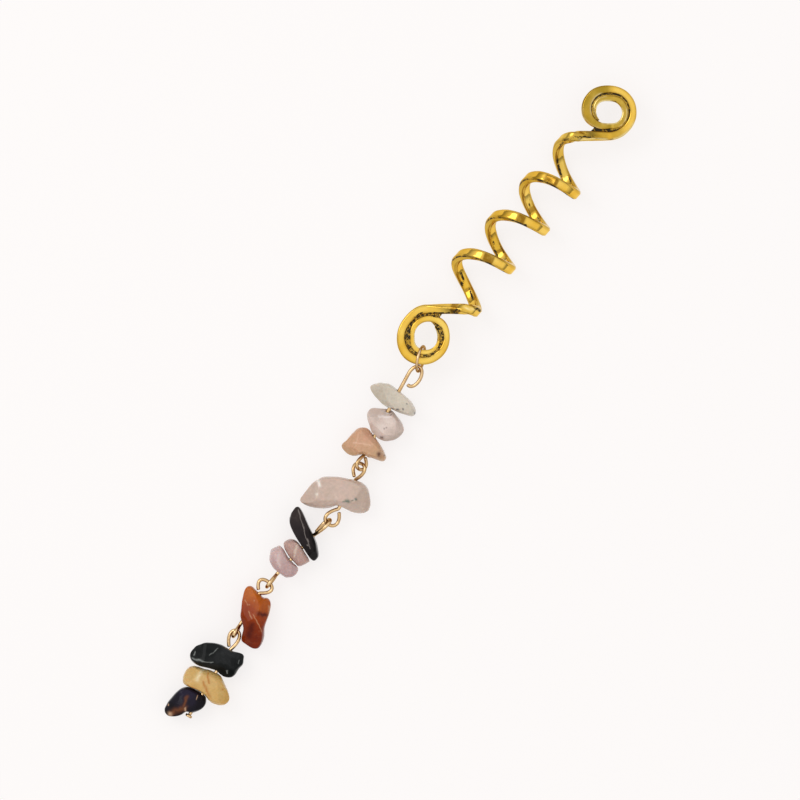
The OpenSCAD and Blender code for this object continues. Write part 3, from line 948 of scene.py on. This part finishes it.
# Each chip: x and y of its middle, the way its long side points, half its length and width, the
# height of its middle, half its height, how its top leans along and across, and its pin.
SHAPES = [
    (-32.75, -3.5, 98, 4, 1.75, 2.75, 2.75, 0.3, 0.1, 1),
    (-36.6, -5.4, 54, 3, 3.1, 2.4, 2.4, -0.2, 0.2, 1),
    (-41, -5.2, 96, 3.5, 2.6, 2.25, 2.25, 0.2, 0.1, 1),
    (-49.7, -6.6, 126, 5.2, 2.9, 2.5, 2.5, 0.4, -0.2, 2),
    (-58, -6.95, 68, 4.35, 1.4, 2.6, 2.6, 0.3, 0.1, 3),
    (-60.95, -8.25, 249, 2.45, 1.38, 2.2, 2.1, 0.1, 0.1, 3),
    (-63.85, -7.45, 248, 2.7, 1.8, 2.2, 1.9, 0.2, 0.1, 3),
    (-73.2, -9.6, 29, 4.75, 2.3, 2.35, 2.35, -0.3, 0.1, 4),
    (-81.7, -9.5, 109, 4, 2.4, 2.35, 2.35, 0.2, -0.2, 5),
    (-85.7, -11.2, 98, 4, 2.5, 2.4, 2.4, -0.3, 0.1, 5),
    (-90, -10.2, 143, 3.3, 2.2, 2.1, 2.1, 0.2, 0.1, 5),
]
# Each chip's outline seen from above: how far its edge is from its middle, every 15 degrees, in
# percent of an ellipse as long and wide as the chip.
OUTLINES = [
    (102, 109, 111, 108, 104, 105, 103, 95, 96, 98, 106, 104,
     99, 94, 88, 86, 81, 79, 81, 87, 98, 94, 96, 96),
    (88, 99, 121, 122, 107, 94, 88, 85, 82, 83, 83, 84,
     83, 86, 87, 90, 90, 80, 72, 67, 66, 70, 78, 83),
    (89, 94, 107, 134, 130, 111, 71, 60, 68, 70, 83, 101,
     101, 84, 73, 66, 62, 63, 67, 80, 96, 97, 94, 89),
    (93, 106, 127, 123, 109, 89, 70, 82, 115, 128, 116, 104,
     97, 96, 98, 98, 92, 87, 87, 88, 92, 89, 87, 88),
    (93, 92, 94, 103, 111, 107, 100, 95, 93, 102, 112, 107,
     101, 100, 98, 95, 97, 93, 90, 94, 111, 129, 116, 101),
    (83, 86, 94, 112, 99, 84, 78, 77, 80, 89, 97, 102,
     107, 115, 129, 141, 131, 115, 106, 98, 95, 99, 92, 84),
    (87, 97, 107, 120, 129, 101, 85, 82, 88, 102, 117, 109,
     107, 108, 102, 99, 99, 91, 84, 75, 72, 72, 77, 84),
    (86, 97, 118, 130, 114, 95, 86, 71, 62, 64, 88, 89,
     91, 99, 113, 127, 122, 100, 99, 109, 116, 105, 85, 83),
    (97, 105, 113, 116, 105, 87, 79, 81, 108, 115, 108, 100,
     100, 110, 118, 129, 101, 94, 96, 94, 92, 93, 91, 94),
    (101, 103, 108, 111, 78, 65, 62, 69, 93, 104, 109, 108,
     104, 95, 88, 85, 88, 96, 91, 89, 84, 90, 99, 101),
    (88, 104, 116, 122, 112, 97, 80, 98, 106, 111, 110, 106,
     102, 93, 90, 89, 94, 99, 95, 84, 76, 72, 73, 79),
]
# How many corners an outline gets, how much of it is flat above and below, and how full the sides
# are.
chip_sides, chip_flat, chip_full = 96, 0.36, 2.4
LEVELS = [-math.cos(math.radians(a)) for a in range(0, 181, 6)]


def chip_rings(shape, outline):
    """Rings from the flat underside to the flat top of a chip."""
    x0, y0, heading, half_l, half_w, z0, half_h, lean_x, lean_y, _ = shape
    heading = math.radians(heading)
    a = np.linspace(0, 2 * math.pi, chip_sides, endpoint=False)
    closed = [outline[-1], *outline, *outline[:2]]
    step = len(outline) / chip_sides
    edge = np.array([smooth(closed, 1 + step * k) / 100 for k in range(chip_sides)])
    rings = []
    for u in LEVELS:
        share = edge * (chip_flat + (1 - chip_flat) * math.sqrt(1 - abs(u) ** chip_full))
        x = half_l * share * np.cos(a) + lean_x * u
        y = half_w * share * np.sin(a) + lean_y * u
        rings.append(np.stack([
            x0 + x * math.cos(heading) - y * math.sin(heading),
            y0 + x * math.sin(heading) + y * math.cos(heading),
            np.full(chip_sides, z0 + half_h * u),
        ], 1))
    return np.array(rings) - part_middle


def shank_of(shape):
    """The two ends of the pin's straight length that a chip sits on."""
    return [np.array(p, float) - part_middle for p in PIN_FEET[shape[-1] - 1]]


def chip_surface(shape, outline):
    """The drilled chip as an even mesh of small quads: points in mm and faces."""
    rough = make_piece("rough_chip", *tube(chip_rings(shape, outline)[::-1]))
    foot, end = shank_of(shape)
    shank = [foot + (foot - end) * drill_past, end + (end - foot) * drill_past]
    drill = make_piece("drill", *tube(wire_skin(np.linspace(*shank, 8), drill_d / 2)))
    rough.data.transform(Matrix.Scale(1 / MM, 4))
    drill.data.transform(Matrix.Scale(1 / MM, 4))
    hole = rough.modifiers.new("hole", "BOOLEAN")
    hole.operation = "DIFFERENCE"
    hole.object = drill
    remesh = rough.modifiers.new("even", "REMESH")
    remesh.mode = "VOXEL"
    remesh.voxel_size = voxel * 1
    bpy.context.view_layer.update()
    shown = rough.evaluated_get(bpy.context.evaluated_depsgraph_get())
    even = shown.to_mesh()
    points = np.zeros(len(even.vertices) * 3)
    even.vertices.foreach_get("co", points)
    faces = [list(p.vertices) for p in even.polygons]
    shown.to_mesh_clear()
    bpy.data.objects.remove(rough)
    bpy.data.objects.remove(drill)
    return points.reshape(-1, 3), faces


def relaxed(points, faces, passes):
    """The surface with its small steps smoothed away, swelling back as much as it shrinks."""
    edges = np.array([(f[k], f[(k + 1) % len(f)]) for f in faces for k in range(len(f))])
    count = np.bincount(edges[:, 0], minlength=len(points))[:, None] + 1e-9
    for step in range(passes * 2):
        mean = np.zeros_like(points)
        np.add.at(mean, edges[:, 0], points[edges[:, 1]])
        points = points + (swell if step % 2 else shrink) * (mean / count - points)
    return points


def ground(points, flats):
    """The surface cut back to flats, each the way it faces as a heading and a tilt from level in
    degrees, and how deep it is cut in mm."""
    for heading, tilt, depth in flats:
        tilt, heading = math.radians(tilt), math.radians(heading)
        n = np.array([math.sin(tilt) * math.cos(heading), math.sin(tilt) * math.sin(heading),
                      math.cos(tilt)])
        reach = points @ n
        above = reach - (reach.max() - depth)
        cut = np.where(above > -flat_soft, (above + flat_soft) ** 2 / (4 * flat_soft), 0)
        cut = np.where(above > flat_soft, above, cut)
        points = points - cut[:, None] * n
    return points


def cleared(points, shape):
    """The surface pushed off the pin again where grinding has bent the hole's wall."""
    foot, end = shank_of(shape)
    along = unit(end - foot)
    spokes = points - foot - ((points - foot) @ along)[:, None] * along
    away = np.linalg.norm(spokes, axis=1)
    short = np.clip(drill_d / 2 - hole_tight - away, 0, None)
    return points + (short / (away + 1e-9))[:, None] * spokes


def marked(points, marks):
    """How strongly each point of the upper side is marked by lines from x, y to x, y, each with
    its width in mm."""
    shares = np.zeros(len(points))
    middle = (points[:, 2].min() + points[:, 2].max()) / 2
    swayed = points + mark_sway * np.stack(
        [wobble(points, mark_sway_size, k + 50) for k in range(3)], 1
    )
    for x0, y0, x1, y1, width in marks:
        start, way = np.array([x0, y0]), np.array([x1 - x0, y1 - y0])
        t = np.clip((swayed[:, :2] - start) @ way / (way @ way + 1e-9), 0, 1)
        away = np.linalg.norm(swayed[:, :2] - start - t[:, None] * way, axis=1)
        shares = np.maximum(
            shares, np.exp(-(away / width) ** 2) * (points[:, 2] > middle - mark_below)
        )
    return shares


# The look of each chip: the flats ground on it; its three colours, the two points from which and
# to which they run, from the light colour mostly on the lamp's side to the deep one away from it,
# so that the run is partly the stone's own change of colour and partly painted shade; the share
# that runs and doesn't lie in clouds, and the clouds per metre; its dark marks, and its pale
# marks, which are partly pale veins and tips and partly painted highlights and glints on ridges,
# and their colours; the shares of light let through and scattered inside; its roughness and how
# much it reflects. Points are x and y in mm from the middle of the whole part.
LOOKS = [
    dict(slot="chip_grey_beige",
         flats=[(-10, 10, 0.8), (176, 54, 0.5), (150, 35, 0.75)],
         tones=[(0.63, 0.56, 0.46), (0.56, 0.49, 0.40), (0.46, 0.39, 0.30)],
         run_and_shade=(1.0, 1.0, -2.2, 0.6), running=0.5, clouds=260,
         dark=(0.05, 0.045, 0.06), dark_marks=[
             (-0.75, -0.1, -0.68, -0.18, 0.17), (-0.02, -0.66, -0.12, -0.76, 0.13),
             (0.95, -0.67, 0.96, -0.7, 0.12), (0.68, -2.53, 0.7, -2.56, 0.14),
             (-1.3, 1.4, -1.05, 0.5, 0.09)],
         pale=(0.74, 0.69, 0.6), pale_and_glint_marks=[(-1.6, 2.0, -1.15, 0.9, 0.12)],
         clear=0.0, soft=0.25, rough=0.3, shine=0.4),
    dict(slot="chip_pink_white",
         flats=[(20, 8, 0.6), (41, 50, 0.55), (-48, 50, 0.5), (176, 48, 0.5), (221, 52, 0.35)],
         tones=[(0.72, 0.60, 0.54), (0.63, 0.50, 0.44), (0.50, 0.40, 0.34)],
         run_and_shade=(-3.2, 1.0, -5.8, -1.6), running=0.35, clouds=420,
         dark=(0.16, 0.11, 0.10), dark_marks=[
             (-4.25, -0.5, -4.24, -0.52, 0.11), (-3.92, -0.72, -3.9, -0.74, 0.1),
             (-2.05, 0.15, -2.0, 0.12, 0.1), (-5.67, -1.05, -5.5, -1.3, 0.22)],
         pale=(0.8, 0.72, 0.68), pale_and_glint_marks=[(-3.4, 1.4, -2.2, -0.2, 0.16)],
         clear=0.0, soft=0.25, rough=0.34, shine=0.35),
    dict(slot="chip_orange_beige",
         flats=[(0, 6, 0.4), (176, 50, 0.55), (-4, 50, 0.4), (111, 35, 0.5)],
         tones=[(0.60, 0.34, 0.22), (0.56, 0.33, 0.19), (0.50, 0.32, 0.17)],
         run_and_shade=(-7.4, 1.6, -9.6, -0.6), running=0.55, clouds=260,
         dark=(0.10, 0.035, 0.015), dark_marks=[
             (-7.8, -2.5, -7.9, -2.75, 0.34), (-7.5, -3.3, -7.45, -3.35, 0.12)],
         pale=(0.72, 0.46, 0.32), pale_and_glint_marks=[(-9.11, 1.65, -7.67, -0.56, 0.13)],
         clear=0.0, soft=0.35, rough=0.26, shine=0.4),
    dict(slot="chip_pale_pink",
         flats=[(30, 8, 0.45), (221, 46, 0.5), (110, 38, 0.6), (-60, 40, 0.5)],
         tones=[(0.66, 0.49, 0.41), (0.59, 0.45, 0.37), (0.55, 0.44, 0.36)],
         run_and_shade=(-16.5, 1.5, -17.0, -5.5), running=0.35, clouds=200,
         dark=(0.15, 0.19, 0.15), dark_marks=[
             (-16.72, -3.6, -16.5, -3.9, 0.26), (-15.43, -4.4, -15.5, -4.6, 0.16),
             (-16.1, -4.1, -15.9, -4.3, 0.12), (-17.2, -3.3, -17.0, -3.5, 0.12)],
         # Its first pale mark is a painted highlight.
         pale=(0.86, 0.80, 0.74), pale_and_glint_marks=[
             (-18.99, 0.64, -18.95, 0.6, 0.2), (-16.9, 2.2, -17.6, 1.2, 0.3)],
         clear=0.08, soft=0.5, rough=0.2, shine=0.5),
    dict(slot="chip_black_veined",
         flats=[(158, 26, 0.9), (-22, 36, 0.7), (68, 45, 0.5), (-112, 50, 0.4)],
         tones=[(0.042, 0.032, 0.030), (0.020, 0.015, 0.016), (0.004, 0.003, 0.003)],
         run_and_shade=(-23.2, -0.4, -25.6, -4.6), running=0.6, clouds=260,
         dark=(0.006, 0.005, 0.005), dark_marks=[(-23.3, -1.6, -25.4, -5.2, 0.4)],
         # Its pale marks are painted highlights along its ridge and painted glints.
         pale=(0.23, 0.20, 0.185), pale_and_glint_marks=[
             (-22.7, 1.2, -24.4, -1.6, 0.06), (-24.4, -1.6, -26.1, -4.3, 0.05),
             (-24.1, -1.3, -24.6, -1.8, 0.08), (-25.1, -3.0, -25.4, -3.4, 0.08),
             (-25.9, -3.5, -25.9, -3.7, 0.1)],
         clear=0.0, soft=0.0, rough=0.1, shine=0.08),
    dict(slot="chip_clear_pink",
         flats=[(158, 36, 0.4), (-22, 34, 0.4), (0, 3, 0.3)],
         tones=[(0.64, 0.43, 0.37), (0.54, 0.35, 0.30), (0.46, 0.27, 0.24)],
         run_and_shade=(-26.8, -2.2, -29.2, -4.2), running=0.4, clouds=260,
         dark=(0.14, 0.06, 0.03), dark_marks=[(-29.4, -3.1, -29.5, -3.5, 0.2)],
         pale=(0.74, 0.58, 0.48), pale_and_glint_marks=[(-27.0, -2.4, -28.6, -3.2, 0.15)],
         clear=0.2, soft=0.4, rough=0.12, shine=0.4),
    dict(slot="chip_lilac_pink",
         flats=[(180, 6, 0.25), (158, 45, 0.3), (-60, 45, 0.3)],
         tones=[(0.63, 0.45, 0.43), (0.56, 0.39, 0.38), (0.48, 0.32, 0.31)],
         run_and_shade=(-29.6, -1.0, -31.6, -4.6), running=0.5, clouds=260,
         dark=(0.3, 0.2, 0.19), dark_marks=[],
         pale=(0.68, 0.52, 0.49), pale_and_glint_marks=[(-30.0, -1.2, -31.2, -2.4, 0.3)],
         clear=0.1, soft=0.5, rough=0.2, shine=0.4),
    dict(slot="chip_amber",
         flats=[(86, 20, 0.8), (-48, 50, 0.55), (221, 16, 0.7), (140, 45, 0.4)],
         tones=[(0.46, 0.115, 0.013), (0.29, 0.040, 0.004), (0.14, 0.013, 0.002)],
         run_and_shade=(-37.6, -2.0, -42.6, -6.6), running=0.65, clouds=200,
         dark=(0.09, 0.008, 0.002), dark_marks=[
             (-38.9, -5.0, -38.4, -6.0, 0.4), (-41.0, -5.4, -42.6, -6.2, 0.5)],
         # Its pale marks are painted glints and highlights on its ridges, and a paler rim.
         pale=(0.50, 0.25, 0.13), pale_and_glint_marks=[
             (-38.8, -1.93, -39.11, -2.87, 0.06), (-39.75, -3.53, -40.17, -4.66, 0.07),
             (-39.56, -4.5, -40.68, -7.1, 0.05), (-37.87, -3.19, -37.9, -3.2, 0.09),
             (-38.91, -2.98, -38.9, -3.0, 0.09),
             (-37.1, -5.6, -38.2, -6.6, 0.22), (-38.2, -6.6, -40.8, -8.5, 0.3)],
         clear=0.0, soft=0.06, rough=0.08, shine=0.1),
    dict(slot="chip_dark_green",
         flats=[(41, 12, 0.7), (215, 38, 0.75), (-52, 32, 0.6), (100, 26, 0.6)],
         tones=[(0.020, 0.021, 0.022), (0.011, 0.012, 0.012), (0.004, 0.005, 0.005)],
         run_and_shade=(-48.5, -3.0, -51.0, -5.0), running=0.3, clouds=300,
         dark=(0.003, 0.003, 0.003), dark_marks=[],
         # Its pale marks are painted highlights along its ridge and painted glints.
         pale=(0.21, 0.22, 0.21), pale_and_glint_marks=[
             (-51.1, -1.8, -50.4, -3.3, 0.11), (-50.4, -3.3, -49.4, -4.75, 0.05),
             (-47.3, -3.8, -48.9, -3.6, 0.05), (-46.5, -7.55, -46.9, -7.7, 0.06),
             (-49.0, -7.2, -49.3, -7.5, 0.1), (-50.6, -1.7, -50.1, -1.5, 0.09)],
         clear=0.0, soft=0.0, rough=0.07, shine=0.07),
    dict(slot="chip_honey",
         flats=[(176, 8, 0.45), (-48, 36, 0.5), (86, 35, 0.4)],
         tones=[(0.68, 0.45, 0.19), (0.63, 0.40, 0.13), (0.55, 0.32, 0.08)],
         run_and_shade=(-52.2, -2.4, -54.4, -8.6), running=0.3, clouds=260,
         dark=(0.50, 0.21, 0.04), dark_marks=[
             (-52.66, -5.56, -53.7, -7.81, 0.22), (-51.54, -8.65, -51.5, -8.7, 0.13),
             (-54.7, -4.1, -54.2, -6.0, 0.12), (-52.43, -2.61, -52.4, -2.6, 0.14),
             (-51.2, -5.2, -52.2, -6.4, 0.14)],
         pale=(0.78, 0.62, 0.36), pale_and_glint_marks=[(-51.3, -4.2, -53.2, -4.6, 0.3)],
         clear=0.06, soft=0.35, rough=0.18, shine=0.3),
    dict(slot="chip_blue_black",
         flats=[(60, 14, 0.55), (221, 36, 0.5), (170, 22, 0.5), (-60, 35, 0.4)],
         tones=[(0.018, 0.014, 0.030), (0.012, 0.010, 0.016), (0.006, 0.005, 0.006)],
         run_and_shade=(-55.5, -4.5, -58.5, -6.5), running=0.3, clouds=300,
         dark=(0.15, 0.05, 0.02), dark_marks=[
             (-59.5, -5.1, -57.7, -6.1, 0.42), (-56.2, -5.2, -57.9, -5.9, 0.24)],
         # Its pale marks are a paler tip and painted glints.
         pale=(0.52, 0.32, 0.2), pale_and_glint_marks=[
             (-60.0, -4.9, -59.9, -5.1, 0.28), (-57.6, -6.2, -57.9, -6.4, 0.14),
             (-54.9, -6.3, -55.4, -6.6, 0.07), (-59.1, -3.9, -58.9, -3.8, 0.08)],
         clear=0.0, soft=0.0, rough=0.1, shine=0.08),
]
# The clouds in a stone, in the columns that clouded names. The first three rows count features in
# the chip's own clouds.
STONE_CLOUDS = {
    "body": (1, 4, 0.55, 0.34, 0.66, 0, 1),
    "threads": (0.8, 2, 0.55, 0.5, 0.62, 0, 1),
    "grain": (12, 3, 0.55, 0.35, 0.65, 0.94, 1.06),
    "frayed": (2200, 4, 0.55, 0.3, 0.5, 0.55, 1.0),
    "polish": (900, 3, 0.55, 0.3, 0.7, 0.7, 1.3),
}
# Its fine pale threads: how fine in the chip's own clouds, how thin, and how strong in a stone
# that scatters light and in any.
thread_scale, thread_detail, thread_thin = 1.7, 5, 0.025
thread_soft, thread_any = 0.4, 0.04
noise_step = (0.31, 0.17, 0.23)
stone_ior, scatter_colour, scatter_depth = 1.54, (1.0, 0.6, 0.4), 0.0008


def stone(look, seed):
    material, tree, shader = new_material(look["slot"])
    where = shader_node(tree, "ShaderNodeTexCoord").outputs["Object"]
    where = shader_node(tree, "ShaderNodeMapping", [("Vector", where)],
                        Location=[seed * step for step in noise_step]).outputs["Vector"]
    own = look["clouds"]
    light, mid, deep = look["tones"]
    clouds = clouded(tree, STONE_CLOUDS["body"], where, own)
    # The run: partly the stone's own change of colour, partly painted shade away from the lamp.
    share = maths(tree, "ADD", share_of(tree, "run_and_shade", look["running"]),
                  maths(tree, "MULTIPLY", clouds, 1 - look["running"]))
    body = ramp(tree, share, [(0.1, light), (0.9, deep), (0.5, mid)])
    thread = cloud(tree, own * thread_scale, thread_detail, where)
    thread = maths(tree, "ABSOLUTE", maths(tree, "SUBTRACT", thread, 0.5), 0)
    thread = maths(tree, "MULTIPLY", stepped(tree, thread, 0.0, thread_thin, 1.0, 0.0),
                   clouded(tree, STONE_CLOUDS["threads"], where, own))
    strength = look["soft"] * thread_soft + thread_any
    body = mixed(tree, maths(tree, "MULTIPLY", thread, strength), body, look["pale"])
    grain = clouded(tree, STONE_CLOUDS["grain"], where, own)
    body = shader_node(tree, "ShaderNodeVectorMath", [(0, body), (1, grain)],
                       operation="MULTIPLY").outputs[0]
    frayed = clouded(tree, STONE_CLOUDS["frayed"], where)
    body = mixed(tree, share_of(tree, "dark", frayed), body, look["dark"])
    # Pale marks: pale veins and tips, and painted highlights and glints.
    body = mixed(tree, share_of(tree, "pale", frayed), body, look["pale"])
    polish = clouded(tree, STONE_CLOUDS["polish"], where)
    set_up(tree, shader, [
        ("Base Color", body), ("Roughness", maths(tree, "MULTIPLY", polish, look["rough"])),
        ("Normal", bumps(tree, 1100, 0.12 + look["rough"] / 2, 0.00004, where)),
    ], **{
        "IOR": stone_ior, "Specular IOR Level": look["shine"], "Subsurface Weight": look["soft"],
        "Subsurface Radius": scatter_colour, "Subsurface Scale": scatter_depth,
        "Transmission Weight": look["clear"],
    })
    return material


for i, look in enumerate(LOOKS):
    node = f"chip_{i + 1}"
    points, faces = chip_surface(SHAPES[i], OUTLINES[i])
    points = relaxed(ground(points, look["flats"]), faces, relax_passes)
    dents = uneven(points, [(height, size, i + seed) for height, size, seed in DENTS])
    sunk = np.minimum(0, dents) - tumbled_off
    points = cleared(points + normals_of(points, faces) * sunk[:, None], SHAPES[i])
    x0, y0, x1, y1 = look["run_and_shade"]
    way = np.array([x1 - x0, y1 - y0])
    run_and_shade = np.clip((points[:, :2] - [x0, y0]) @ way / (way @ way), 0, 1)
    chip = make_piece(f"{node}_tumbled", points, faces, {
        "run_and_shade": run_and_shade, "dark": marked(points, look["dark_marks"]),
        "pale": marked(points, look["pale_and_glint_marks"]),
    })
    chip.data.materials.append(stone(look, i + 1))
    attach(chip, "root")
    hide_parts(node)
